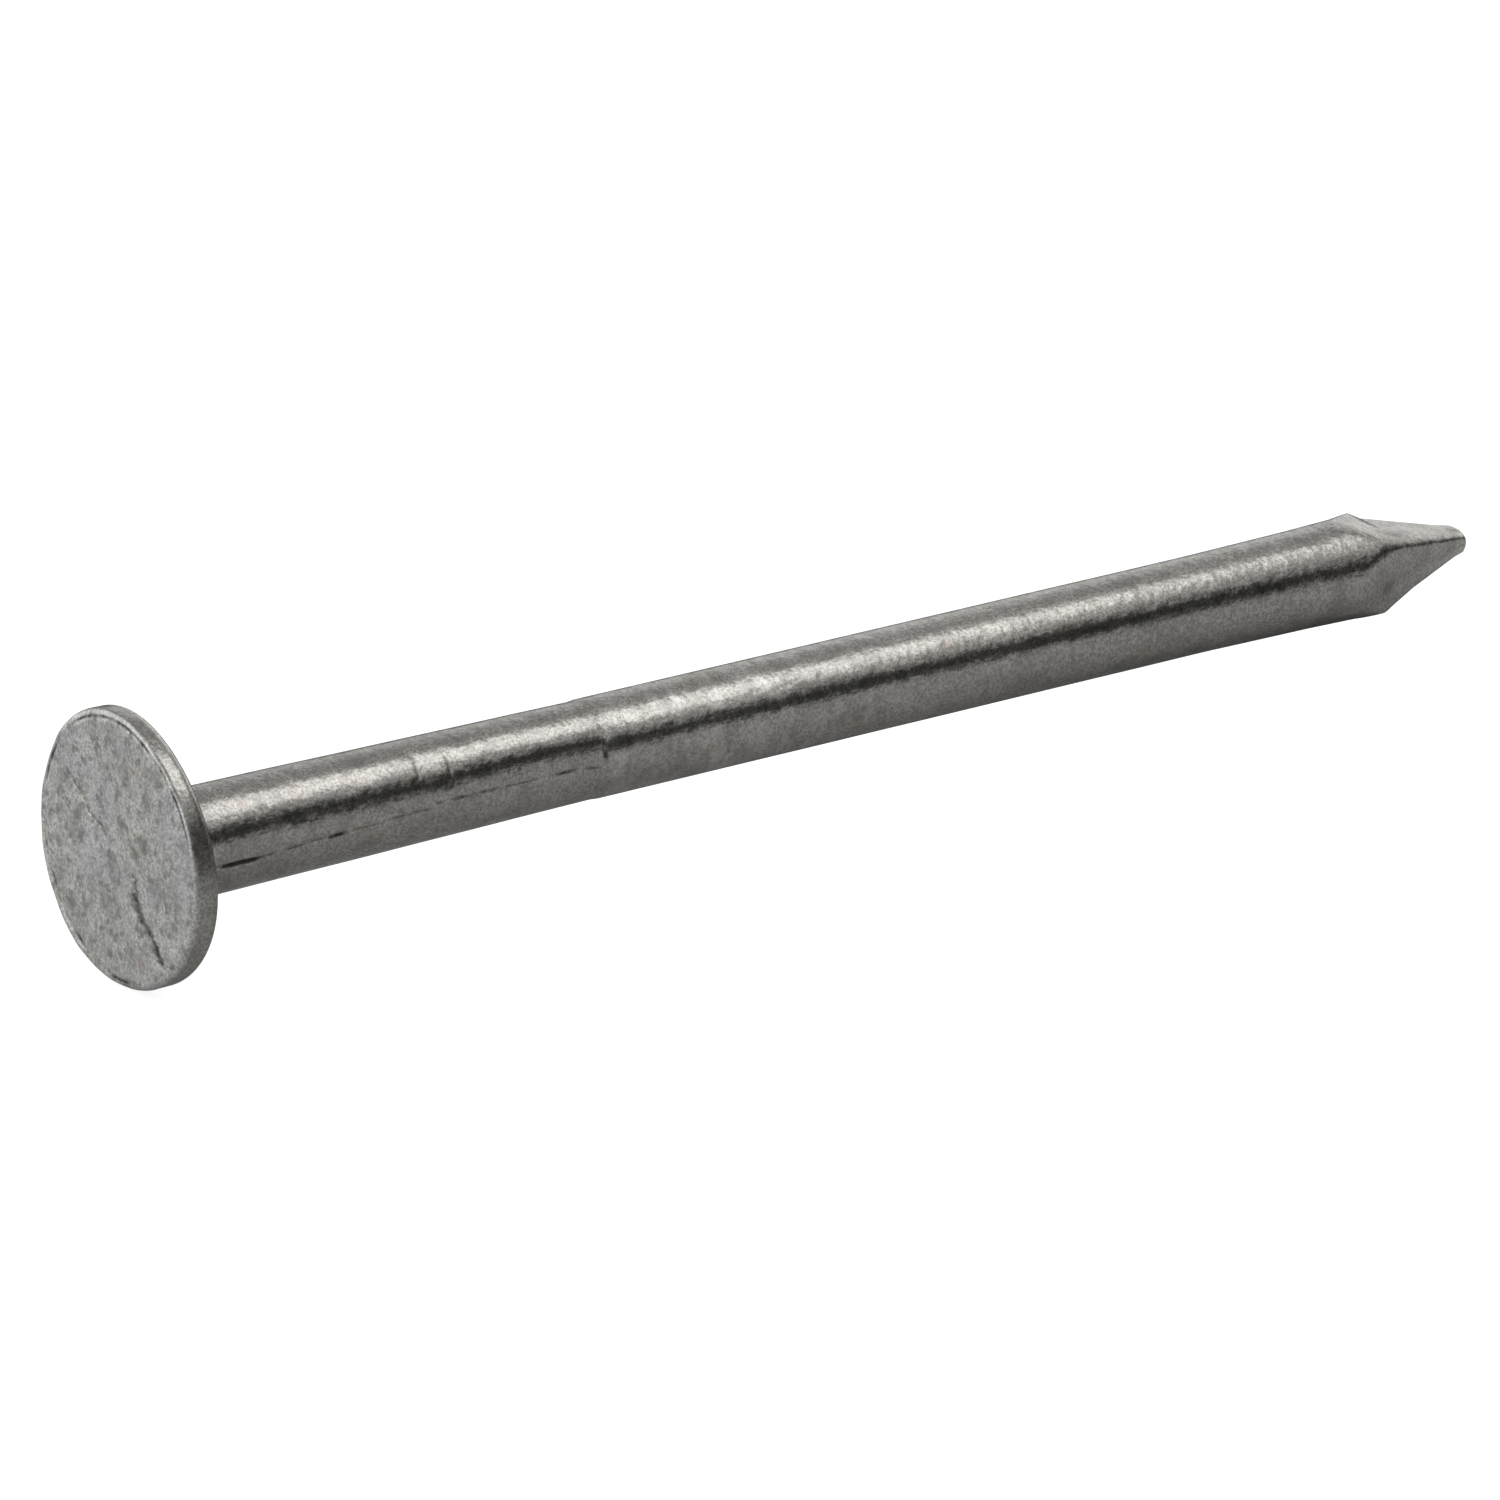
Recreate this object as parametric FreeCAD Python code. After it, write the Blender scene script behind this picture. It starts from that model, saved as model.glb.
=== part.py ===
import FreeCAD, Part
import math
import os

# Round wire nail, cold-headed and nipped from one length of steel wire.
# Millimetres. The nail lies along +X with its point at the +X end and Z up. The origin is on the
# wire's axis in the plane of the head's underside. Turn angles are about that axis: 0 faces -Y
# and 90 faces +Z.

# Wire and overall size
wire_diameter = 3.0
overall_length = 50.0

# Head: a thin round disc, struck slightly off the wire's axis
head_diameter = 8.3
head_thickness = 0.9
head_offset = 0.24
head_offset_turn = 123.0
struck_edge_round = 0.32
under_edge_round = 0.26

# Neck: the length the heading dies gripped, swollen under the head and squeezed at its end
neck_diameter_at_head = 3.27
neck_diameter_at_end = 2.95
neck_length = 15.6
neck_shoulder = 0.4
head_fillet = 0.25

# Marks left on the neck by the two halves of the dies
seam_turns = (-3.0, 177.0)
seam_width = 0.10
seam_depth = 0.04
grip_mark_turn = 52.0
grip_mark_start = 8.6
grip_mark_length = 1.4
grip_mark_depth = 0.05

# Swell: the wire spreads sideways just before the point, where the nippers squeezed it
swell_start = 38.4
swell_middle = 42.4
swell_middle_half = 1.55
swell_late = 44.3
swell_late_half = 1.595
swell_end = 45.4
swell_end_half = 1.68
swell_flattening = 0.012

# Point: four facets that meet in two rounded ridges and two sharp edges
ridge_turn = 37.0
point_start = 45.2
point_run_in = 3.0
ridge_half_at_start = 1.43
ridge_half_at_tip = 0.34
upper_edge_half_at_start = 1.66
upper_edge_half_at_tip = 0.40
lower_edge_half_at_start = 1.64
lower_edge_half_at_tip = 0.26
ridge_round_at_start = 0.75
ridge_round_at_tip = 0.18
tip_round = 0.55

# Room to spare round the wire for the solids that only trim it
clear_of_wire = 4.0
overlap = 0.02

wire_radius = wire_diameter / 2
tip_x = overall_length - head_thickness
origin = FreeCAD.Vector(0, 0, 0)
along = FreeCAD.Vector(1, 0, 0)


def across(turn, radius, x=0.0):
    """The place at a turn angle and radius from the wire's axis."""
    angle = math.radians(turn)
    return FreeCAD.Vector(x, -radius * math.cos(angle), radius * math.sin(angle))


def turned(shape, turn):
    """The shape turned about the wire's axis, so that what faced -Y faces the turn angle."""
    shape.rotate(origin, along, -turn)
    return shape


def ring_edges(shape, x):
    """The circular edges of a shape that lie across the axis at one place along it."""
    return [
        edge
        for edge in shape.Edges
        if isinstance(edge.Curve, Part.Circle) and abs(edge.CenterOfMass.x - x) < 0.001
    ]


def make_head():
    """The disc, its rim rounded more on the struck side than underneath."""
    centre = across(head_offset_turn, head_offset, -head_thickness)
    disc = Part.makeCylinder(head_diameter / 2, head_thickness, centre, along)
    disc = disc.makeFillet(struck_edge_round, ring_edges(disc, -head_thickness))
    return disc.makeFillet(under_edge_round, ring_edges(disc, 0))


def make_neck_and_wire():
    """The gripped neck and the round wire, spun about the axis up to where the swell starts."""
    outline = [
        (-head_thickness / 2, 0),
        (-head_thickness / 2, neck_diameter_at_head / 2),
        (0, neck_diameter_at_head / 2),
        (neck_length - neck_shoulder, neck_diameter_at_end / 2),
        (neck_length, wire_radius),
        (swell_start, wire_radius),
        (swell_start, 0),
    ]
    corners = [FreeCAD.Vector(x, 0, radius) for x, radius in outline]
    face = Part.Face(Part.makePolygon(corners + corners[:1]))
    return face.revolve(origin, along, 360)


def make_seam(turn):
    """The thin groove along the neck where the two heading dies met."""
    cutter = Part.makeBox(
        neck_length - head_fillet,
        1.0,
        seam_width,
        FreeCAD.Vector(head_fillet, 0, -seam_width / 2),
    )
    middle_radius = (neck_diameter_at_head + neck_diameter_at_end) / 4
    taper = math.atan((neck_diameter_at_head - neck_diameter_at_end) / 2 / neck_length)
    cutter.translate(FreeCAD.Vector(0, seam_depth - middle_radius - 1.0, 0))
    cutter.rotate(FreeCAD.Vector(neck_length / 2, 0, 0), FreeCAD.Vector(0, 0, 1), math.degrees(taper))
    return turned(cutter, turn)


def make_grip_mark():
    """The shallow flat that the dies pressed into one side of the neck."""
    share = (grip_mark_start + grip_mark_length / 2) / neck_length
    diameter = neck_diameter_at_head + (neck_diameter_at_end - neck_diameter_at_head) * share
    flat = diameter / 2 - grip_mark_depth
    corner = FreeCAD.Vector(grip_mark_start, -flat - 1.0, -wire_radius)
    return turned(Part.makeBox(grip_mark_length, 1.0, wire_diameter, corner), grip_mark_turn)


def oval(x, half_width):
    """An oval across the wire, wide toward the sharp edges and slightly low at the ridges."""
    curve = Part.Ellipse(
        across(ridge_turn + 90, half_width, x),
        across(ridge_turn, wire_radius - swell_flattening, x),
        FreeCAD.Vector(x, 0, 0),
    )
    return Part.Wire([curve.toShape()])


def make_swell():
    """The wire spreading from round to oval, running on to the tip for the facets to cut."""
    ovals = [
        oval(swell_start, wire_radius - 0.002),
        oval(swell_middle, swell_middle_half),
        oval(swell_late, swell_late_half),
        oval(swell_end, swell_end_half),
        oval(tip_x + overlap, swell_end_half),
    ]
    return Part.makeLoft(ovals, True, True)


def diamond(x, ridge_half, upper_half, lower_half, ridge_round):
    """A four-sided outline across the point, its two ridge corners rounded by arcs."""
    upper = FreeCAD.Vector(x, 0, upper_half)
    lower = FreeCAD.Vector(x, 0, -lower_half)
    edges = []
    for side, first, last in ((-1, upper, lower), (1, lower, upper)):
        ridge = FreeCAD.Vector(x, side * ridge_half, 0)
        to_first = (first - ridge).normalize()
        to_last = (last - ridge).normalize()
        half_angle = to_first.getAngle(to_last) / 2
        inward = (to_first + to_last).normalize()
        run = ridge_round / math.tan(half_angle)
        centre = ridge + inward * (ridge_round / math.sin(half_angle))
        start = ridge + to_first * run
        end = ridge + to_last * run
        edges.append(Part.makeLine(first, start))
        edges.append(Part.Arc(start, centre - inward * ridge_round, end).toShape())
        edges.append(Part.makeLine(end, last))
    return Part.Wire(edges)


def make_nipped_shape():
    """What the nippers leave: four facets tapering to a blunt round tip."""
    growth = 1 + point_run_in / (tip_x - point_start)
    sizes_at_start = (
        ridge_half_at_start,
        upper_edge_half_at_start,
        lower_edge_half_at_start,
        ridge_round_at_start,
    )
    sizes_at_tip = (
        ridge_half_at_tip,
        upper_edge_half_at_tip,
        lower_edge_half_at_tip,
        ridge_round_at_tip,
    )
    sizes_before = [
        at_tip + (at_start - at_tip) * growth
        for at_start, at_tip in zip(sizes_at_start, sizes_at_tip)
    ]
    wide = diamond(point_start - point_run_in, *sizes_before)
    narrow = diamond(tip_x, *sizes_at_tip)
    facets = turned(Part.makeLoft([wide, narrow], True, True), ridge_turn)
    tip_centre = FreeCAD.Vector(tip_x - tip_round, 0, 0)
    blunt_end = Part.makeCylinder(clear_of_wire, tip_centre.x, origin, along)
    blunt_end = blunt_end.fuse(Part.makeSphere(tip_round, tip_centre))
    round_wire = Part.makeCylinder(clear_of_wire, point_start - point_run_in, origin, along)
    return facets.common(blunt_end).fuse(round_wire)


def make_nail():
    """Head, neck, wire and point as one piece of steel."""
    nail = make_neck_and_wire().fuse(make_head())
    under_head = [
        edge
        for edge in ring_edges(nail, 0)
        if abs(edge.Curve.Radius - neck_diameter_at_head / 2) < 0.001
    ]
    nail = nail.makeFillet(head_fillet, under_head)
    for turn in seam_turns:
        nail = nail.cut(make_seam(turn))
    nail = nail.cut(make_grip_mark())
    return nail.fuse(make_swell().common(make_nipped_shape()))


os.makedirs("parts", exist_ok=True)
nail = make_nail()
box = nail.BoundBox
print("nail: solids", len(nail.Solids), "valid", nail.isValid(), "faces", len(nail.Faces))
print("nail: volume in cubic mm", round(nail.Volume, 2))
print("nail: length", round(box.XLength, 3))
nail.exportStep("parts/nail.step")
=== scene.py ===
# %% [markdown]
# # A round wire nail
# A nail is one length of drawn steel wire. Dies grip the wire while a punch strikes its end into
# a flat head, and nippers pinch the other end to a four-sided point. This lesson dresses the
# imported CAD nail: one detailed mesh with the marks of those tools, one steel finish worked out
# from noise, and a plain pale studio. Everything is in metres, in the frame of the CAD model.

# %% Load the CAD frame
import math

import bpy
import numpy as np
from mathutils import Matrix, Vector


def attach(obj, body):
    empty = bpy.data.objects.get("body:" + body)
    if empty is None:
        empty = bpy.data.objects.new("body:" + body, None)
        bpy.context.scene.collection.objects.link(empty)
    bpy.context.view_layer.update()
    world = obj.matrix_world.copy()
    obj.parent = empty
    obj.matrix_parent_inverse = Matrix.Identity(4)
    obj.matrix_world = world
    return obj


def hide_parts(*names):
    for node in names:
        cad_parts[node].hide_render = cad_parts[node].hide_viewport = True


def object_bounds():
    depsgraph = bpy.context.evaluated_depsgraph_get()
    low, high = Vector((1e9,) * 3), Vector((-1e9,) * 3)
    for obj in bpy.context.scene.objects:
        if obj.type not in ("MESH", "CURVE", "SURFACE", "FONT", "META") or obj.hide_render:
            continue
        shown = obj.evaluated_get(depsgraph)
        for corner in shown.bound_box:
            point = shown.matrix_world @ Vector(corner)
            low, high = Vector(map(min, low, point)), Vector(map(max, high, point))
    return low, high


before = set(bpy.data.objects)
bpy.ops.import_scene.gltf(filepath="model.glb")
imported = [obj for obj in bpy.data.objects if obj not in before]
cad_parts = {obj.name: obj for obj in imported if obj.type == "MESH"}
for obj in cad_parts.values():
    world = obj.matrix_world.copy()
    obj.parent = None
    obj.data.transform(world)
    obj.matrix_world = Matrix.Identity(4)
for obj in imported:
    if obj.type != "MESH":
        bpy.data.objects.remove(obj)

CAD_BOX = [list(map(float, corner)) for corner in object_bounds()]
MM = 0.001
print("CAD box in mm:", [[round(v / MM, 2) for v in corner] for corner in CAD_BOX])

# %% [markdown]
# ## The sizes of the real nail
# The nail lies along X with its head at the low end. The mesh is made of rings that each go once
# round the wire, because nearly everything on a nail is round. So every place on it has an X and
# a turn angle: 0 faces -Y and 90 degrees faces up. These sizes repeat the CAD model's, so that
# the mesh fills the same box.

# %% Sizes in millimetres
HEAD_FACE_X = CAD_BOX[0][0] / MM
TIP_X = CAD_BOX[1][0] / MM
WIRE_RADIUS = 1.5
HEAD_RADIUS = 4.17
HEAD_OFFSET = 0.24
HEAD_OFFSET_TURN = math.radians(123.0)
NECK_RADIUS_AT_HEAD = 1.635
NECK_RADIUS_AT_END = 1.475
DIE_END_X = 15.2
RIDGE_TURN = math.radians(37.0)
PLACES_ROUND = 264
print("nail length", round(TIP_X - HEAD_FACE_X, 2), "mm")


# %% Helpers that shape smooth changes
def smooth(value, low, high):
    """0 below low, 1 above high, and a smooth step between."""
    share = np.clip((value - low) / (high - low), 0, 1)
    return share * share * (3 - 2 * share)


def hump(value, middle, half_width):
    """1 at the middle, fading smoothly to 0 at half_width each side."""
    return 1 - smooth(np.abs(value - middle), 0, half_width)


def angle_gap(turn, middle):
    """How far a turn angle is from a middle angle, going the short way round, in radians."""
    return (turn - middle + math.pi) % (2 * math.pi) - math.pi


def soft_least(first, second, soft):
    """The smaller of two sizes, with the crossing rounded over a soft distance."""
    overlap = np.clip(1 - np.abs(first - second) / soft, 0, 1)
    return np.minimum(first, second) - soft * overlap * overlap / 4


turns = np.arange(PLACES_ROUND) * 2 * math.pi / PLACES_ROUND
print("spacing round the wire", round(2 * math.pi * WIRE_RADIUS / PLACES_ROUND, 3), "mm")


# %% [markdown]
# ## Waves that don't repeat
# Struck and drawn metal is never quite even. A few sine waves of different lengths and seeded
# phases give slow, smooth unevenness that is the same on every run.

# %% Seeded unevenness
def waves(seed, count, lowest, highest):
    """A function of (x, turn) between about -1 and 1, made of seeded sine waves."""
    draw = np.random.default_rng(seed)
    along = draw.uniform(lowest, highest, count) * draw.choice([-1, 1], count)
    around = draw.integers(1, 6, count)
    phase = draw.uniform(0, 2 * math.pi, count)

    def unevenness(x, turn):
        total = 0
        for k in range(count):
            total = total + np.sin(along[k] * x + around[k] * turn + phase[k])
        return total / math.sqrt(count)

    return unevenness


wire_waves = waves(11, 7, 0.3, 1.6)
rim_waves = waves(23, 6, 0.5, 3.0)
face_waves = waves(31, 8, 0.5, 2.0)
print("unevenness at the die end", round(float(wire_waves(DIE_END_X, 0.0)), 2))


# %% [markdown]
# ## The neck and the wire
# The dies grip the first 15 mm of the wire. They leave a neck that swells a little under the
# head, a flatter front and back where the die halves parted, and a small step where the dies
# end. Each mark is a change of radius, so all of them add up in one function of X and turn. Cut
# with booleans, such shallow marks would leave hard edges that a real die doesn't.

# %% Flats where the dies parted
FLAT_MIDDLE = math.radians(6.0)
FLAT_DEPTH = 0.065
FLAT_DEEPENS_BY = 0.050
FLAT_SPREAD = 0.42
BACK_FLAT_SHARE = 0.8


def die_flat(x, turn):
    """How far the dies' parting flattened the neck, in mm, on the front and on the back."""
    depth = FLAT_DEPTH + FLAT_DEEPENS_BY * smooth(x, 7.0, 14.0)
    depth = depth * smooth(x, 0.6, 3.5) * (1 - smooth(x, DIE_END_X - 0.04, DIE_END_X + 0.10))
    front = np.exp(-((angle_gap(turn, FLAT_MIDDLE) / FLAT_SPREAD) ** 2) / 2)
    back = np.exp(-((angle_gap(turn, FLAT_MIDDLE + math.pi) / FLAT_SPREAD) ** 2) / 2)
    return depth * (front + BACK_FLAT_SHARE * back)


print("flat at the die end", round(float(die_flat(14.0, FLAT_MIDDLE)), 3), "mm deep")

# %% The broken line between the die halves
SEAM_DASHES = (
    # start x, end x, start turn, end turn, strength
    (1.55, 3.00, -10.4, -11.6, 1.00),
    (2.90, 3.60, -11.0, -9.6, 0.35),
    (3.80, 4.55, -9.2, -8.2, 0.42),
    (4.60, 5.35, -6.6, -7.2, 0.38),
    (5.30, 6.00, -7.2, -6.9, 0.80),
    (6.20, 7.20, -5.4, -5.9, 0.36),
    (7.40, 8.25, -3.2, -3.6, 0.32),
    (8.15, 9.05, -2.8, -3.2, 0.40),
    (9.10, 9.45, 1.6, 1.0, 0.50),
    (9.65, 10.60, 1.8, 1.6, 0.42),
    (10.55, 11.50, 1.7, 1.4, 0.40),
    (11.60, 12.90, 1.0, 0.6, 0.30),
    (13.40, 14.30, 0.4, 1.2, 0.50),
    (14.40, 15.10, 0.2, -5.0, 0.45),
)


def seam_dashes(x, turn):
    """The broken line where the die halves met, 0 to 1, on the front and on the back."""
    found = np.zeros(np.broadcast(x, turn).shape)
    for side in (0.0, math.pi):
        for start, end, start_turn, end_turn, strength in SEAM_DASHES:
            share = np.clip((x - start) / (end - start), 0, 1)
            middle = math.radians(start_turn) + math.radians(end_turn - start_turn) * share
            middle = middle + 0.005 * np.sin(9.0 * x + 3 * side)
            gap = np.abs(angle_gap(turn, middle + side)) * WIRE_RADIUS
            ends = smooth(x, start - 0.08, start + 0.25) * (1 - smooth(x, end - 0.25, end + 0.08))
            across = 1 - smooth(gap, 0.01, 0.035 + 0.075 * strength)
            found = np.maximum(found, strength * ends * across)
    return found


print("dashes in the line:", len(SEAM_DASHES))

# %% The grip mark on the neck
GRIP_TURN = math.radians(44.0)
GRIP_DEPTH = 0.030
FIRST_LINE_X = 8.70
SECOND_LINE_X = 9.78


def grip_mark(x, turn):
    """The small flat the die pressed into the upper front of the neck, as a depth in mm."""
    near = hump(angle_gap(turn, GRIP_TURN), 0, 0.62)
    return GRIP_DEPTH * near * smooth(x, 8.60, 8.90) * (1 - smooth(x, 9.72, 9.84))


def grip_lines(x, turn):
    """Two fine cross lines that edge the grip mark, 0 to 1."""
    slant = 0.10 * angle_gap(turn, math.radians(40.0))
    first = hump(x - slant, FIRST_LINE_X, 0.07) * hump(angle_gap(turn, math.radians(41)), 0, 0.22)
    second = hump(x - slant, SECOND_LINE_X, 0.08) * hump(angle_gap(turn, math.radians(32)), 0, 0.46)
    return np.maximum(0.7 * first, second)


print("grip mark from", FIRST_LINE_X, "to", SECOND_LINE_X, "mm")

# %% Radius of the neck and wire
DASH_DEPTH = 0.045
LINE_DEPTH = 0.026
WIRE_UNEVENNESS = 0.0035


def wire_radius(x, turn):
    """The distance from the axis to the steel, from under the head to where the point starts."""
    along_neck = np.clip(x / DIE_END_X, 0, 1)
    neck = NECK_RADIUS_AT_HEAD + (NECK_RADIUS_AT_END - NECK_RADIUS_AT_HEAD) * along_neck
    step = smooth(x, DIE_END_X, DIE_END_X + 0.35)
    radius = neck + (WIRE_RADIUS - neck) * step
    radius = radius - die_flat(x, turn) - grip_mark(x, turn)
    radius = radius - DASH_DEPTH * seam_dashes(x, turn) - LINE_DEPTH * grip_lines(x, turn)
    calm = 1 - 0.6 * smooth(x, DIE_END_X, DIE_END_X + 1)
    return radius + WIRE_UNEVENNESS * calm * wire_waves(x, turn)


print("radius at the die end", round(float(wire_radius(DIE_END_X - 0.2, FLAT_MIDDLE)), 3), "mm")


# %% [markdown]
# ## The point
# The nippers close from two sides. Each leaves two facets with a rounded ridge between them,
# and where the nippers meet there is a sharp edge. The wire also spreads a little toward those
# edges. The section is the smaller of two shapes, the oval wire and a diamond that shrinks
# toward the tip, and a soft minimum rounds the line where they meet.

# %% How the point narrows
POINT_START_X = 44.9
TIP_ROUND = 0.55
TIP_HALF_WIDTH = 0.66
TIP_SQUARENESS = 2.4


def taper(x, at_start, at_tip):
    """A size that changes evenly from the start of the point to the tip."""
    return at_start + (at_tip - at_start) * (x - POINT_START_X) / (TIP_X - POINT_START_X)


def spread_half_width(x):
    """Half the wire's width toward its sharp edges, which the nippers spread."""
    return np.interp(x, (38.4, 42.4, 44.3, 45.4, TIP_X), (1.5, 1.55, 1.60, 1.71, 1.71))


def ridge_half(x):
    """The radius of the rounded ridges along the point."""
    return np.interp(x, (42.6, 45.2, TIP_X), (2.45, 1.43, 0.32))


def edge_half(x, upper):
    """The radius of the two sharp edges. The nippers left a small step at the upper one."""
    over = np.interp(x, (42.6, 45.25, 45.70, 48.4, TIP_X), (2.60, 1.75, 1.45, 0.68, 0.56))
    under = np.interp(x, (42.5, 44.9, 45.3, 45.7, 46.6, 48.6, TIP_X),
                      (2.60, 1.77, 1.65, 1.48, 1.12, 0.46, 0.34))
    return np.where(upper, over, under)


print("ridge radius at the tip", float(ridge_half(TIP_X)), "mm")

# %% Radius of the point
def diamond_radius(x, gap):
    """The diamond's radius at an angle from its front ridge. Ridges at 0 and pi are rounded."""
    ridge = ridge_half(x)
    edge = edge_half(x, np.sin(gap) > 0)
    rounding = taper(x, 0.55, 0.24)
    side = np.abs(np.sin(gap))
    face = np.abs(np.cos(gap))
    reach = np.sqrt(edge**2 + rounding**2) - rounding
    radius = 1 / (face / ridge + side / edge)
    # Newton's method finds where the angle's line meets the rounded side.
    for _ in range(12):
        bend = np.sqrt((radius * side) ** 2 + rounding**2)
        value = radius * face / ridge + (bend - rounding) / reach - 1
        slope = face / ridge + radius * side**2 / (bend * reach)
        radius = radius - value / slope
    return radius


def point_radius(x, turn):
    """The distance from the axis to the steel on the spread wire and the point."""
    gap = angle_gap(turn, RIDGE_TURN)
    half_width = spread_half_width(x)
    low = WIRE_RADIUS - 0.012 * smooth(x, 38.4, 42.4)
    oval = 1 / np.sqrt((np.cos(gap) / low) ** 2 + (np.sin(gap) / half_width) ** 2)
    oval = oval + 0.0014 * wire_waves(x, turn)
    on_edge = np.abs(np.sin(gap)) ** 6
    radius = soft_least(oval, diamond_radius(x, gap), 0.16 * (1 - on_edge) + 0.012)
    reach = np.clip((x - TIP_X) / TIP_ROUND + 1, 0, 1)
    tip = TIP_HALF_WIDTH * (1 - reach**TIP_SQUARENESS) ** (1 / TIP_SQUARENESS)
    return soft_least(radius, tip + 3 * (x < TIP_X - TIP_ROUND), 0.05)


print("radius halfway down the point, ridge and edge:",
      [round(float(point_radius(47.0, RIDGE_TURN + a)), 2) for a in (0.0, math.pi / 2)])


# %% [markdown]
# ## The head
# The punch leaves a flat face inside a rolled rim, with a fine crease between them that is
# deepest on the upper side and worn away at the lower front. The head is slightly off the wire's
# axis and slightly out of round. Cold steel splits a little as it spreads, which leaves a ragged
# gouge and a hairline on the face. The rings start at the middle of the face, go out over the
# rim and back in under the head to the fillet on the neck.

# %% Head outline and rim
HEAD_CENTRE = (-HEAD_OFFSET * math.cos(HEAD_OFFSET_TURN), HEAD_OFFSET * math.sin(HEAD_OFFSET_TURN))
FILLET = 0.25
THIN_RIM_TURN = math.radians(48.0)


def head_outline(turn):
    """The head's radius from its own centre, slightly three-lobed."""
    lobe = 3 * (math.radians(105.5) - turn)
    return HEAD_RADIUS - 0.052 + 0.050 * np.cos(lobe) - 0.012 * np.sin(lobe)


def rim_rounds(turn):
    """The rim's rounding at the face and underneath. The rim is thinnest at the upper front."""
    thin = hump(angle_gap(turn, THIN_RIM_TURN), 0, 1.35)
    return 0.19 - 0.10 * thin, 0.20 + 0.26 * thin


def rim_crease(turn):
    """How deep the crease between face and rim is, 0 to 1: deepest on the upper side."""
    upper = hump(angle_gap(turn, math.radians(80.0)), 0, 1.7)
    ragged = 0.45 * rim_waves(0.0, turn * 3) + 0.25 * np.sin(23 * turn)
    worn_away = 0.85 * hump(angle_gap(turn, math.radians(-22.0)), 0, 1.0)
    return np.clip(0.40 + 0.45 * upper + ragged, 0.0, 1) * (1 - worn_away)


print("head width in mm", round(float(head_outline(0.0) + head_outline(math.pi)), 2))

# %% Splits in the face
GOUGE = ((-0.80, -0.35), (-0.84, -0.85), (-0.92, -1.22), (-1.22, -1.55), (-1.55, -1.82),
         (-1.80, -2.14), (-2.16, -2.52))
GOUGE_WIDTHS = (0.10, 0.14, 0.24, 0.16, 0.19, 0.26, 0.13)
# Widths of the softer painted shade round the gouge.
HALO_WIDTHS = (0.46, 0.42, 0.34, 0.32, 0.36, 0.34, 0.24)
HAIRLINE = ((2.70, 2.05), (2.22, 1.72), (1.74, 1.36), (1.38, 0.95), (0.86, 0.80))
HAIRLINE_WIDTHS = (0.05, 0.07, 0.065, 0.075, 0.05)


def split_depth(y, z, path, widths):
    """How near a place is to a ragged path on the face: 1 on it, 0 outside its width."""
    found = np.zeros(np.shape(y))
    for start, end, from_width, to_width in zip(path, path[1:], widths, widths[1:]):
        run_y, run_z = end[0] - start[0], end[1] - start[1]
        share = ((y - start[0]) * run_y + (z - start[1]) * run_z) / (run_y**2 + run_z**2)
        share = np.clip(share, 0, 1)
        ragged = 0.045 * np.sin(19 * z + 3) + 0.03 * np.sin(37 * z + 11 * y)
        away = np.hypot(y - start[0] - share * run_y + ragged, z - start[1] - share * run_z)
        width = from_width + (to_width - from_width) * share
        found = np.maximum(found, 1 - smooth(away, 0.0, 1.45 * width))
    return found


print("gouge ends", round(math.dist(GOUGE[0], GOUGE[-1]), 2), "mm apart")


# %% A ring and its marks
def even_shares(count):
    """Even shares of a way, from just past its start to its end."""
    return np.linspace(0.0, 1.0, count + 1)[1:]


def ring(x, y, z, grime=0.0, struck=0.0, sheared=0.0):
    """One ring round the nail: its places in mm, and how strong each mark is there."""
    values = (x, y, z, grime, struck, sheared)
    return [np.broadcast_to(np.asarray(value, dtype=float), turns.shape) for value in values]


def head_ring(x, radius, **marks):
    """A ring about the head's own centre."""
    y = HEAD_CENTRE[0] - radius * np.cos(turns)
    z = HEAD_CENTRE[1] + radius * np.sin(turns)
    return ring(x, y, z, **marks)


def wire_ring(x, radius, **marks):
    """A ring about the wire's axis."""
    return ring(x, -radius * np.cos(turns), radius * np.sin(turns), **marks)


print("a ring holds", turns.size, "places")

# %% Rings of the struck face
FACE_RINGS = 79
FACE_SET_BACK = 0.035
FACE_SHIFT_TURN = math.radians(31.0)
CREASE_DEPTH = 0.05
LIP_HEIGHT = 0.018
GOUGE_DEPTH = 0.040
HAIRLINE_DEPTH = 0.025
BRIGHT_FLECK = (-1.43, -1.93)


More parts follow.
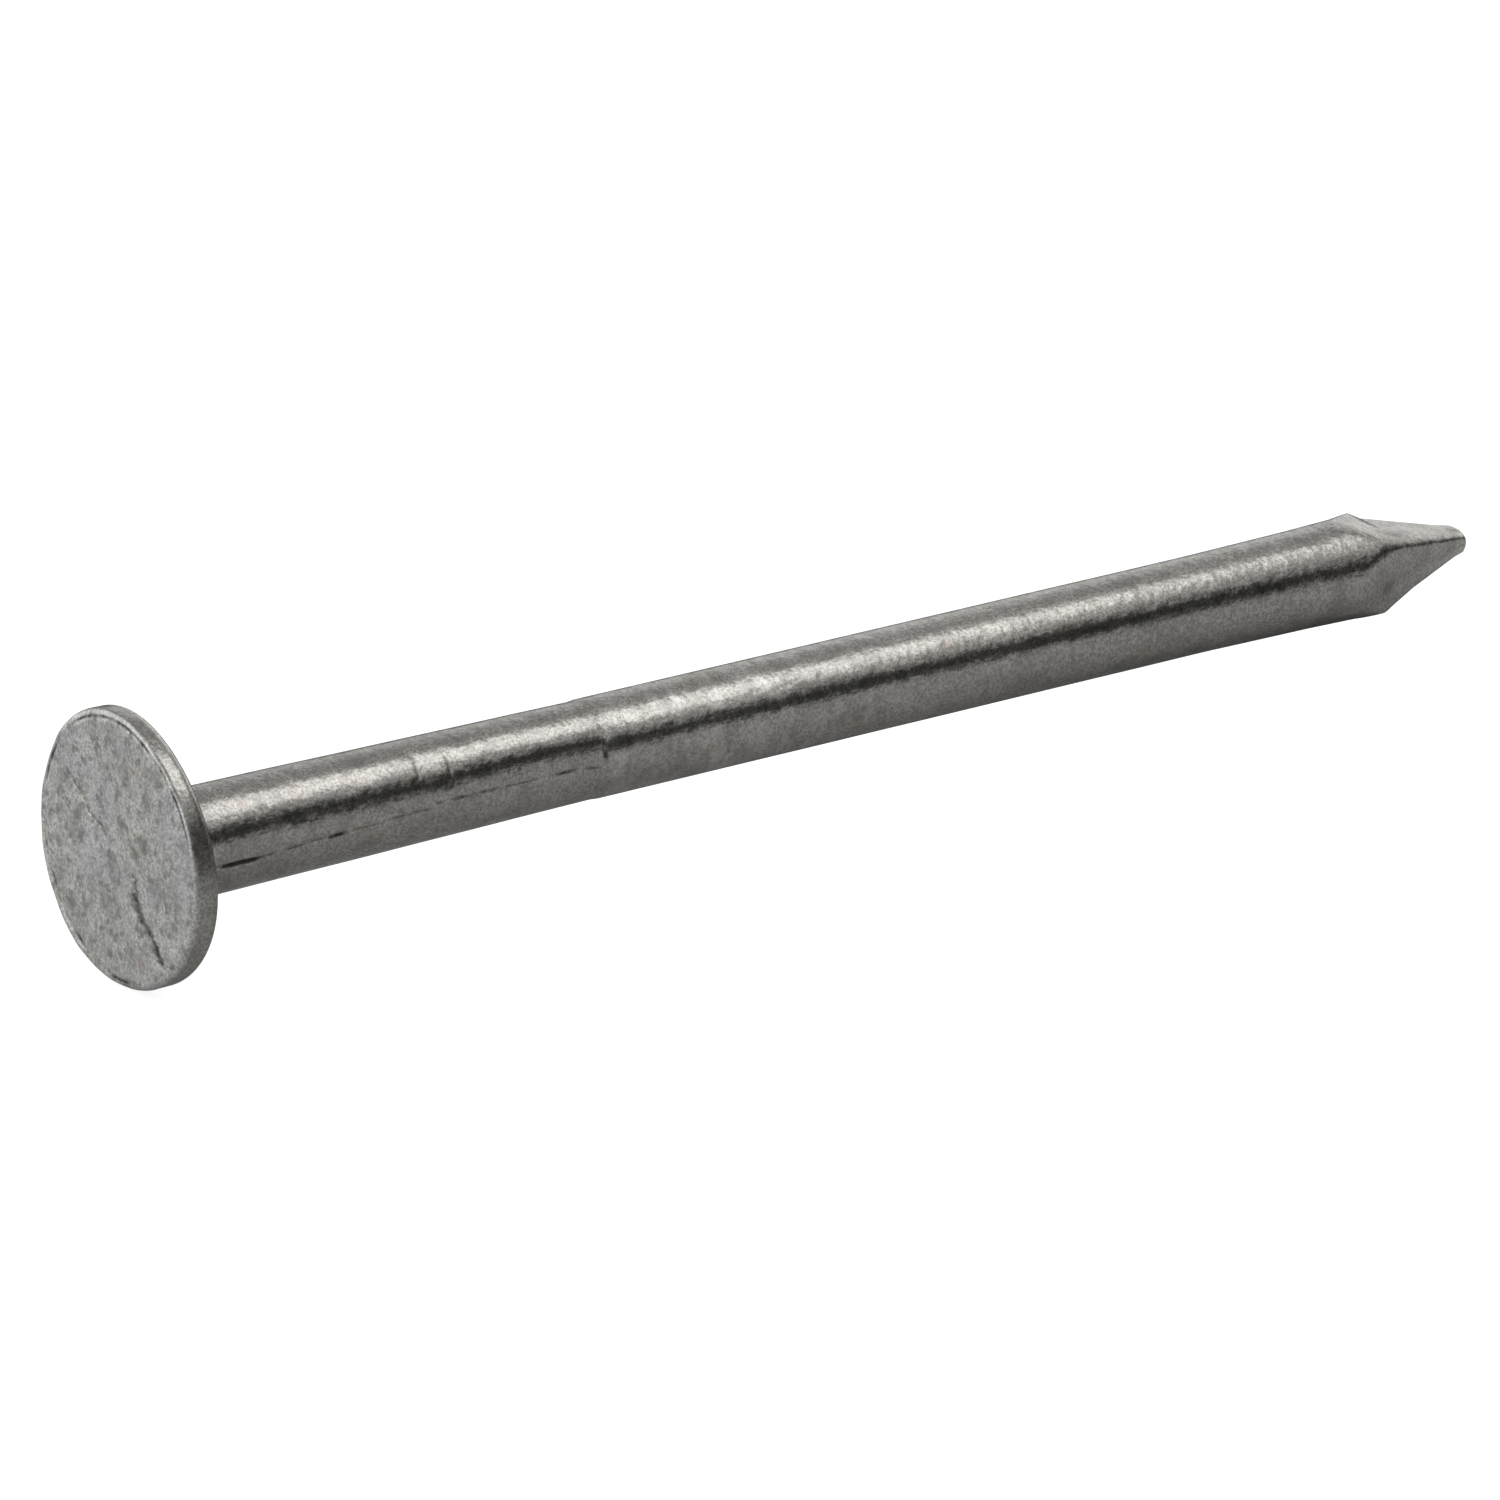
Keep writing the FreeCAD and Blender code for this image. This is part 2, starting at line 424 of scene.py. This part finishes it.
def face_rings(face_edge):
    """Rings from near the middle of the face to where the rim starts."""
    rings = []
    crease_line = 3.97 + 0.20 * np.cos(turns - FACE_SHIFT_TURN) + 0.035 * rim_waves(1.0, turns)
    crease_line = soft_least(crease_line, face_edge - 0.02, 0.06)
    for share in even_shares(FACE_RINGS):
        radius = face_edge * share
        y = HEAD_CENTRE[0] - radius * np.cos(turns)
        z = HEAD_CENTRE[1] + radius * np.sin(turns)
        crease = rim_crease(turns) * (1 - smooth(np.abs(radius - crease_line), 0.01, 0.115))
        lip = rim_crease(turns) * smooth(radius - crease_line, 0.0, 0.12)
        gouge = split_depth(y, z, GOUGE, GOUGE_WIDTHS)
        gouge_halo = split_depth(y, z, GOUGE, HALO_WIDTHS)
        hair = split_depth(y, z, HAIRLINE, HAIRLINE_WIDTHS)
        dish = 0.012 * face_waves(2.2 * y, 0.9 * z) + 0.012
        x = HEAD_FACE_X + FACE_SET_BACK + 0.6 * dish + CREASE_DEPTH * crease
        x = x + GOUGE_DEPTH * gouge + HAIRLINE_DEPTH * hair - LIP_HEIGHT * lip
        x = np.maximum(x, HEAD_FACE_X + 0.001)
        # Painted shade in the crease, in the gouge with a softer halo of it round the gouge, and in
        # the hairline. The gouge's painted shade is left out at one small spot and eased toward its
        # top, and the face gets a little darker toward its edge.
        fleck = 0.8 * hump(np.hypot(y - BRIGHT_FLECK[0], z - BRIGHT_FLECK[1]), 0, 0.16)
        gouge_grime = 0.42 * gouge * (1 - fleck) * (1 - 0.5 * smooth(z, -1.5, -0.7))
        edge_grime = 0.06 * smooth(radius, 2.9, 3.9)
        grime = 0.66 * crease + gouge_grime + 0.34 * gouge_halo + 0.55 * hair + edge_grime
        rings.append(ring(x, y, z, grime=np.clip(grime, 0, 1), struck=1.0))
    return rings


print("face rings", FACE_RINGS)

# %% Rings of the rim and the underside
RIM_RINGS = 26
UNDER_RINGS = 11
RIM_SHADE_TURN = math.radians(16.0)
FRONT_ENDS = 0.4
SIDE_ENDS = 0.65


def rim_section(share, face_x, front_round, under_round):
    """Where a rim ring is along X, and how far it lies in from the head's outline."""
    if share < FRONT_ENDS:
        angle = share / FRONT_ENDS * math.pi / 2
        return face_x + front_round * (1 - math.cos(angle)), front_round * (1 - math.sin(angle))
    if share < SIDE_ENDS:
        front_x = face_x + front_round
        down_side = (share - FRONT_ENDS) / (SIDE_ENDS - FRONT_ENDS)
        return front_x - (front_x + under_round) * down_side, 0.0
    angle = (share - SIDE_ENDS) / (1 - SIDE_ENDS) * math.pi / 2
    return -under_round * (1 - math.sin(angle)), under_round * (1 - math.cos(angle))


def in_cad_box(values, axis):
    """Values kept between the CAD box's sides on one axis."""
    return np.clip(values, CAD_BOX[0][axis] / MM, CAD_BOX[1][axis] / MM)


def rim_rings(face_x, outline, front_round, under_round):
    """Rings that round over from the face, run down the rim and round in underneath."""
    rings = []
    # Painted shade on the rim's front, a little above the middle, beside the neck.
    shade = 0.58 * hump(angle_gap(turns, RIM_SHADE_TURN), 0, 0.62)
    for share in even_shares(RIM_RINGS):
        x, inset = rim_section(share, face_x, front_round, under_round)
        dents = 0.014 * math.sin(share * math.pi) * rim_waves(2.0 + 2.2 * share, turns)
        radius = outline - inset + dents
        y = in_cad_box(HEAD_CENTRE[0] - radius * np.cos(turns), 1)
        z = in_cad_box(HEAD_CENTRE[1] + radius * np.sin(turns), 2)
        rings.append(ring(x, y, z, grime=shade * smooth(share, 0.1, 0.5),
                          struck=1 - smooth(share, 0.12, 0.36)))
    return rings


def underside_rings(outline, under_round):
    """Rings that run in under the head to the top of the fillet."""
    rings = []
    for share in even_shares(UNDER_RINGS):
        keep = 1 - share
        radius = (outline - under_round) * keep + (NECK_RADIUS_AT_HEAD + FILLET) * share
        y = HEAD_CENTRE[0] * keep - radius * np.cos(turns)
        z = HEAD_CENTRE[1] * keep + radius * np.sin(turns)
        x = 0.004 * rim_waves(3.0 + share, turns) * keep * share
        # Painted shade under the head, deepening toward the fillet.
        rings.append(ring(x, y, z, grime=0.55 * share))
    return rings


def head_rings():
    """All the rings of the head, from the middle of its face to the top of the fillet."""
    outline = head_outline(turns)
    front_round, under_round = rim_rounds(turns)
    face = face_rings(outline - front_round)
    rim = rim_rings(face[-1][0], outline, front_round, under_round)
    return face + rim + underside_rings(outline, under_round)


print("rim rings", RIM_RINGS, "and underside rings", UNDER_RINGS)

# %% Rings of the neck, the wire and the point
FILLET_RINGS = 5
SPREAD_START_X = 38.2
DARK_PATCH_TURN = math.radians(-24.0)
LEDGE_TURN = math.radians(10.0)
STATIONS = np.concatenate([
    np.arange(0.35, 8.50, 0.17),     # neck
    np.arange(8.50, 10.10, 0.06),    # grip mark
    np.arange(10.10, 14.40, 0.17),   # neck
    np.arange(14.40, 15.70, 0.06),   # step at the die end
    np.arange(15.75, 38.00, 1.20),   # plain wire
    np.arange(38.30, 42.60, 0.30),   # spread wire
    np.arange(42.70, 48.50, 0.075),  # point
    TIP_X - TIP_ROUND * (1 - np.sin(np.linspace(0.0, 0.5, 13)[:-1] * math.pi)),
])


def sheared_edge(x, turn):
    """Where the nippers tore the metal: along the sharp edges and over the tip, 0 to 1."""
    gap = angle_gap(turn, RIDGE_TURN)
    lower = hump(gap, -math.pi / 2 + 0.30, 0.42) * smooth(x, 44.9, 45.6)
    upper = 0.5 * hump(gap, math.pi / 2, 0.25) * smooth(x, 45.2, 45.8)
    return np.clip(np.maximum(lower, upper) + 0.6 * smooth(x, 48.3, 48.9), 0, 1)


def point_shade(x, turn):
    """Painted shade on the point: low on the front and above the ridge, with a darker patch on the
    tip.
    """
    low = 0.40 * hump(angle_gap(turn, DARK_PATCH_TURN), 0, 0.40) * hump(x, 45.1, 0.8)
    above = 0.44 * hump(angle_gap(turn, RIDGE_TURN + 0.42), 0, 0.55) * hump(x, 45.9, 1.4)
    tip = 0.50 * hump(angle_gap(turn, RIDGE_TURN + 0.9), 0, 0.8) * hump(x, 48.75, 0.45)
    return low + above + tip


def wire_grime(x, turn):
    """Painted shade in the die marks, on the step at the die end and just under the head, with the
    point's painted shade.
    """
    ledge = hump(x, DIE_END_X + 0.02, 0.12) * hump(angle_gap(turn, LEDGE_TURN), 0, 0.30)
    grime = seam_dashes(x, turn) ** 0.6 + 0.9 * grip_lines(x, turn)
    grime = grime + 0.8 * ledge + point_shade(x, turn) + 0.35 * (1 - smooth(x, 0.2, 0.9))
    return np.clip(grime, 0, 1)


def neck_and_point_rings():
    """The rings from the fillet under the head to the tip."""
    rings = []
    for share in even_shares(FILLET_RINGS):
        angle = share * math.pi / 2
        radius = NECK_RADIUS_AT_HEAD + FILLET * (1 - math.sin(angle))
        # Painted shade in the fillet under the head, lighter toward the neck.
        rings.append(wire_ring(FILLET * (1 - math.cos(angle)), radius, grime=0.55 - 0.2 * share))
    for x in STATIONS:
        radius = wire_radius(x, turns) if x < SPREAD_START_X else point_radius(x, turns)
        rings.append(wire_ring(x, radius, grime=wire_grime(x, turns),
                               sheared=sheared_edge(x, turns)))
    return rings


all_rings = head_rings() + neck_and_point_rings()
print("rings", len(all_rings), "triangles", len(all_rings) * PLACES_ROUND * 2)


# %% [markdown]
# ## One closed mesh
# Neighbouring rings are joined by four-sided faces, and a fan of triangles closes each end. The
# marks go along as attributes, one number at each vertex, so that the finish can find them.

# %% Turn the rings into one closed mesh
def ring_faces(count):
    """The faces of a mesh with a middle vertex, a count of rings and a tip vertex."""
    here = range(PLACES_ROUND)
    beside = [(k + 1) % PLACES_ROUND for k in here]
    faces = [(0, 1 + beside[k], 1 + k) for k in here]
    for low in range(1, 1 + (count - 1) * PLACES_ROUND, PLACES_ROUND):
        high = low + PLACES_ROUND
        faces.extend((low + k, low + beside[k], high + beside[k], high + k) for k in here)
    low = 1 + (count - 1) * PLACES_ROUND
    tip = low + PLACES_ROUND
    faces.extend((low + k, low + beside[k], tip) for k in here)
    return faces


def build_nail(rings):
    """The nail's object, with its marks as attributes of the mesh."""
    middle = (HEAD_FACE_X + 0.02, *HEAD_CENTRE)
    # The first of these marks is painted shade: darker colour in creases, splits and die marks,
    # under the head, on the rim's front and on parts of the point.
    end_marks = {"grime": (0.0, 0.0), "struck": (1.0, 0.0), "sheared": (0.0, 1.0)}
    places = [np.stack(one_ring[:3], axis=1) for one_ring in rings]
    points = np.concatenate([[middle], *places, [(TIP_X, 0.0, 0.0)]]) * MM
    mesh = bpy.data.meshes.new("nail_steel")
    mesh.from_pydata(points.tolist(), [], ring_faces(len(rings)))
    mesh.validate()
    for slot, (name, (at_middle, at_tip)) in enumerate(end_marks.items(), start=3):
        values = np.concatenate([[at_middle], *(one_ring[slot] for one_ring in rings), [at_tip]])
        layer = mesh.attributes.new(name, "FLOAT", "POINT")
        layer.data.foreach_set("value", values.astype(np.float32))
    mesh.shade_smooth()
    nail = bpy.data.objects.new("nail_steel", mesh)
    bpy.context.collection.objects.link(nail)
    return nail


nail_steel = build_nail(all_rings)
print("nail mesh:", len(nail_steel.data.vertices), "vertices")


# %% [markdown]
# ## Node sums
# A finish is easier to read as sums than as a list of nodes. This class wraps a socket, so that
# Python's own signs add the Math or Vector Math nodes, and one method adds any other node.

# %% A socket that takes part in sums
class Socket:
    """A node tree's socket. Sums on it add nodes."""

    def __init__(self, tree, socket=None):
        self.tree = tree
        self.socket = socket

    def add(self, kind, settings=None, sockets=None, out=0):
        """Add a node: its settings first, then its sockets' values or links."""
        node = self.tree.nodes.new(kind)
        for name, value in (settings or {}).items():
            setattr(node, name, value)
        for name, value in (sockets or {}).items():
            if isinstance(value, Socket):
                self.tree.links.new(value.socket, node.inputs[name])
            else:
                node.inputs[name].default_value = value
        return Socket(self.tree, node.outputs[out])

    def is_vector(self):
        """Whether this is a vector or a colour, not a single value."""
        return self.socket.type != "VALUE"

    def sum(self, operation, first, second):
        """A Math node, or a Vector Math node where either side is a vector."""
        sides = [s for s in (first, second) if isinstance(s, Socket)]
        vector = any(s.is_vector() for s in sides)
        kind = "ShaderNodeVectorMath" if vector else "ShaderNodeMath"
        values = []
        for side in (first, second):
            plain = not isinstance(side, Socket) and not isinstance(side, tuple)
            values.append((side,) * 3 if vector and plain else side)
        return self.add(kind, {"operation": operation}, {0: values[0], 1: values[1]})

    def __add__(self, other):
        return self.sum("ADD", self, other)

    def __radd__(self, other):
        return self.sum("ADD", other, self)

    def __sub__(self, other):
        return self.sum("SUBTRACT", self, other)

    def __rsub__(self, other):
        return self.sum("SUBTRACT", other, self)

    def __mul__(self, other):
        return self.sum("MULTIPLY", self, other)

    def __rmul__(self, other):
        return self.sum("MULTIPLY", other, self)

    def part(self, axis):
        """One part of a vector: X, Y or Z."""
        return self.add("ShaderNodeSeparateXYZ", None, {0: self}, out=axis)

    def step(self, low, high):
        """0 below low and 1 above high, with a smooth change between."""
        return self.add(
            "ShaderNodeMapRange",
            {"interpolation_type": "SMOOTHSTEP"},
            {"Value": self, "From Min": low, "From Max": high, "To Min": 0.0, "To Max": 1.0},
        )

    def blend(self, first, second):
        """A colour between two others: the first where this is 0, the second where it is 1."""
        sockets = {0: self, 6: first, 7: second}
        return self.add("ShaderNodeMix", {"data_type": "RGBA"}, sockets, out=2)


def colour(red, green, blue):
    """An opaque colour."""
    return (red, green, blue, 1.0)


def grey(shade):
    """An opaque grey, from 0 for black to 1 for white."""
    return colour(shade, shade, shade)


print("Socket sums: + - *, part, step and blend")


# %% [markdown]
# ## The steel
# Bright drawn wire is plain steel with a satin skin. Seen close, the skin is grainy: tiny
# plates and pits catch the light one by one. The struck face is duller and mottled, and the
# torn edges of the point are pale. Painted shade darkens the die marks, the crease and splits
# in the face, the rim's front, the underside of the head and patches of the point. Just past
# the dies the wire has pale rubbed streaks across it. Noise at several sizes gives the grain,
# the mottling and the drawn lines, and the mesh's own marks say where each goes. Noise needs
# no unwrapped map and no image file, so the finish stays sharp at any distance.

# %% Tones of the steel
DARK_WIRE, PALE_WIRE = colour(0.325, 0.315, 0.295), colour(0.65, 0.63, 0.59)
DARK_FACE, PALE_FACE = colour(0.52, 0.52, 0.495), colour(0.97, 0.97, 0.935)
DARK_COOL, PALE_COOL = colour(0.54, 0.54, 0.55), colour(0.97, 0.97, 0.99)
DARK_RUBBED, PALE_RUBBED = colour(0.57, 0.56, 0.53), colour(0.85, 0.83, 0.79)
DARK_TORN, PALE_TORN = colour(0.45, 0.44, 0.41), colour(0.85, 0.84, 0.80)
FACE_PIT, FACE_DULL = colour(0.30, 0.305, 0.28), colour(0.42, 0.425, 0.40)
WIRE_PIT, MOTTLED = colour(0.24, 0.235, 0.22), colour(0.27, 0.27, 0.255)
# The last tone is the near-black of painted shade and of dark specks.
RUST, SHADE_AND_SPECK_BLACK = colour(0.40, 0.30, 0.25), colour(0.05, 0.047, 0.045)
BUMP_HEIGHT = 0.016 * MM
print("wire tones from", DARK_WIRE[0], "to", PALE_WIRE[0])


# %% The bright steel finish
def make_bright_steel():
    """The one finish of the nail: grainy drawn steel, duller on the struck face."""
    material = bpy.data.materials.new("bright_drawn_steel")
    material.use_nodes = True
    tree = material.node_tree
    shader = tree.nodes["Principled BSDF"]
    start = Socket(tree)
    place = start.add("ShaderNodeTexCoord", out="Object") * (1 / MM)

    def mark(name):
        return start.add("ShaderNodeAttribute", {"attribute_name": name}, out="Fac")

    def noise(where, scale, detail, rough):
        return start.add(
            "ShaderNodeTexNoise",
            {"noise_dimensions": "3D"},
            {"Vector": where, "Scale": scale, "Detail": detail, "Roughness": rough},
        )

    grime, struck, sheared = mark("grime"), mark("struck"), mark("sheared")
    grain = noise(place, 11.0, 2.0, 0.75)
    plates = noise(place, 2.8, 1.5, 0.5)
    pits = noise(place + (2.7, 6.1, 0.4), 2.4, 5.0, 0.7)
    mottle = noise(place, 1.2, 4.0, 0.6)
    cool = noise(place + (3.1, 8.7, 5.3), 0.45, 3.0, 0.5).step(0.46, 0.60)
    slow = noise(place + (1.1, 4.2, 8.8), 0.38, 2.0, 0.5).step(0.38, 0.62)
    rusty = noise(place + (5.9, 2.3, 9.7), 1.3, 3.0, 0.6).step(0.62, 0.72)
    drawn = noise(place * (0.16, 1.0, 1.0), 5.0, 3.0, 0.6)
    specks = noise(place + (7.3, 1.9, 4.1), 4.5, 3.0, 0.75).step(0.56, 0.74)
    along = place.part("X")
    past_dies = along.step(DIE_END_X - 0.2, DIE_END_X + 0.4) * (1 - along.step(18.0, 34.0))
    rubbed = noise(place * (1.0, 0.3, 0.3), 2.0, 3.0, 0.6).step(0.46, 0.64) * past_dies

    tone = grain.step(0.30, 0.70)
    face_steel = tone.blend(DARK_FACE, PALE_FACE)
    face_steel = (cool * 0.8).blend(face_steel, tone.blend(DARK_COOL, PALE_COOL))
    face_steel = (pits.step(0.50, 0.64) * 0.72).blend(face_steel, FACE_PIT)
    face_steel = (slow * 0.16).blend(face_steel, FACE_DULL)
    wire_steel = tone.blend(DARK_WIRE, PALE_WIRE)
    wire_steel = (pits.step(0.54, 0.70) * 0.4).blend(wire_steel, WIRE_PIT)
    wire_steel = (rubbed * 0.6).blend(wire_steel, tone.blend(DARK_RUBBED, PALE_RUBBED))
    base = struck.blend(wire_steel, face_steel)
    base = (mottle.step(0.42, 0.75) * 0.55).blend(base, MOTTLED)
    base = (rusty * 0.35).blend(base, RUST)
    base = (sheared * 0.6).blend(base, tone.blend(DARK_TORN, PALE_TORN))
    # Painted shade from the mesh's marks, together with real dark specks, darkens the colour toward
    # one near-black.
    dark = grime * (0.10 + pits * 1.8) + specks * (0.14 + struck * 0.30)
    base = dark.step(0.05, 1.0).blend(base, SHADE_AND_SPECK_BLACK)
    tree.links.new(base.socket, shader.inputs["Base Color"])

    rough = 0.17 + plates * 0.10 + grain * 0.06 + struck * 0.28 + grime * 0.20
    tree.links.new(rough.socket, shader.inputs["Roughness"])
    shader.inputs["Metallic"].default_value = 1.0

    height = plates * 1.5 + pits * 0.16 + grain * 0.14 + drawn * 0.35
    bump_sockets = {"Strength": 1.0, "Distance": BUMP_HEIGHT, "Height": height}
    bump = start.add("ShaderNodeBump", None, bump_sockets)
    tree.links.new(bump.socket, shader.inputs["Normal"])
    return material


nail_steel.data.materials.append(make_bright_steel())
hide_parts("nail")
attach(nail_steel, "root")
print("finish:", nail_steel.data.materials[0].name)


# %% [markdown]
# ## The studio
# Polished steel shows the room more than itself, so the room is designed as carefully as the
# nail. A softbox overhead makes the bright band along the wire, and an unlit part of the room
# makes the dark line beside it. The camera sees a pale floor. The steel doesn't: in its place
# it reflects a grey table that the camera doesn't see, which rises with the wire's underside.

# %% Floor and table
FLOOR_Z = CAD_BOX[0][2] - 0.00001
SHEET_SIZE = 6.0
TABLE_RISE = 0.0515
TABLE_SHADE = 0.58
SHADOW_SHADE = 0.05


def make_plain(name, shade, glow):
    """A matt finish that can also give a little light of its own."""
    material = bpy.data.materials.new(name)
    material.use_nodes = True
    shader = material.node_tree.nodes["Principled BSDF"]
    shader.inputs["Base Color"].default_value = grey(shade)
    shader.inputs["Roughness"].default_value = 1.0
    shader.inputs["Specular IOR Level"].default_value = 0.0
    shader.inputs["Emission Color"].default_value = grey(1.0)
    shader.inputs["Emission Strength"].default_value = glow
    return material


def make_sheet(name, material, rise=0.0):
    """A flat square under the nail, which can rise along X."""
    half = SHEET_SIZE / 2
    sides = ((-half, -half), (half, -half), (half, half), (-half, half))
    corners = [(x, y, FLOOR_Z + rise * x) for x, y in sides]
    mesh = bpy.data.meshes.new(name)
    mesh.from_pydata(corners, [], [(0, 1, 2, 3)])
    mesh.materials.append(material)
    sheet = bpy.data.objects.new(name, mesh)
    bpy.context.collection.objects.link(sheet)
    return sheet


def shadow_behind(material):
    """Darken the table behind the nail, from just past the head toward the point."""
    shader = material.node_tree.nodes["Principled BSDF"]
    place = Socket(material.node_tree).add("ShaderNodeTexCoord", out="Object")
    shadow = place.part("X").step(0.005, 0.030) * place.part("Y").step(-0.0005, 0.0015) * 0.85
    shade = shadow.blend(grey(TABLE_SHADE), grey(SHADOW_SHADE))
    material.node_tree.links.new(shade.socket, shader.inputs["Base Color"])
    return material


floor = make_sheet("floor", make_plain("pale_floor", 0.50, 0.88))
floor.visible_glossy = False
floor.visible_diffuse = False
floor.visible_shadow = False
grey_table = shadow_behind(make_plain("grey_table", TABLE_SHADE, 0.0))
table = make_sheet("table_in_reflections", grey_table, rise=TABLE_RISE)
table.visible_camera = False
table.visible_diffuse = False
table.visible_shadow = False
print("floor at z", round(FLOOR_Z / MM, 2), "mm")


# %% Light from the room
ROOM_LIGHT = 0.50
UNLIT_SHARE = 0.98


def patch(direction, towards, inner, outer):
    """1 near one direction, fading to 0: angles in degrees from it."""
    aim = Vector(towards).normalized()
    sides = {0: direction, 1: tuple(aim)}
    dot = direction.add("ShaderNodeVectorMath", {"operation": "DOT_PRODUCT"}, sides, out="Value")
    return dot.step(math.cos(math.radians(outer)), math.cos(math.radians(inner)))


world = bpy.data.worlds.new("studio")
bpy.context.scene.world = world
world.use_nodes = True
direction = Socket(world.node_tree).add("ShaderNodeTexCoord", out="Generated")
height = direction.part("Z")
toward_front = 0.16 - direction.part("Y")
unlit = toward_front.step(0.0, 0.5) * height.step(0.00, 0.15) * (1 - height.step(0.45, 0.58))
side_fill = patch(direction, (-0.75, 0.60, 0.25), 20.0, 60.0) * 0.7
end_fill = patch(direction, (0.85, 0.50, 0.15), 10.0, 35.0) * 0.6
back_dim = patch(direction, (0.56, 0.61, 0.555), 12.0, 38.0) * 0.15
strength = (ROOM_LIGHT + side_fill + end_fill - back_dim) * (1 - UNLIT_SHARE * unlit)
background = world.node_tree.nodes["Background"]
background.inputs["Color"].default_value = grey(1.0)
world.node_tree.links.new(strength.socket, background.inputs["Strength"])
print("room light of", ROOM_LIGHT, "with 3 patches and an unlit band")

# %% Softbox over the nail
SOFTBOX_WAY = Vector((0.56, -0.187, 0.809)).normalized()
SOFTBOX_AWAY = 0.220
SOFTBOX_BRIGHTNESS = 1.20
softbox_data = bpy.data.lights.new("softbox", "AREA")
softbox_data.shape = "RECTANGLE"
softbox_data.size = 0.110
softbox_data.size_y = 0.092
softbox_data.energy = SOFTBOX_BRIGHTNESS * math.pi * softbox_data.size * softbox_data.size_y
softbox = bpy.data.objects.new("softbox", softbox_data)
softbox.location = Vector((-0.006, 0.0, 0.0)) + SOFTBOX_WAY * SOFTBOX_AWAY
softbox.rotation_euler = SOFTBOX_WAY.to_track_quat("Z", "Y").to_euler()
softbox.visible_camera = False
bpy.context.collection.objects.link(softbox)
print("softbox", round(softbox_data.size / MM), "by", round(softbox_data.size_y / MM), "mm")

# %% Camera
CAMERA_PLACE = Vector((-145.353, -226.588, 96.048)) * MM
VIEW = Vector((0.56035, 0.76104, -0.32683))
camera_data = bpy.data.cameras.new("camera")
camera_data.sensor_width = 36.0
camera_data.lens = 240.0
camera_data.clip_start = 0.01
camera_data.clip_end = 20.0
camera = bpy.data.objects.new("camera", camera_data)
camera.location = CAMERA_PLACE
camera.rotation_euler = VIEW.to_track_quat("-Z", "Y").to_euler()
bpy.context.collection.objects.link(camera)
bpy.context.scene.camera = camera
bpy.context.scene.view_settings.view_transform = "Standard"
print("camera", round(CAMERA_PLACE.length / MM), "mm from the head")

# %% Update the view layer
bpy.context.view_layer.update()
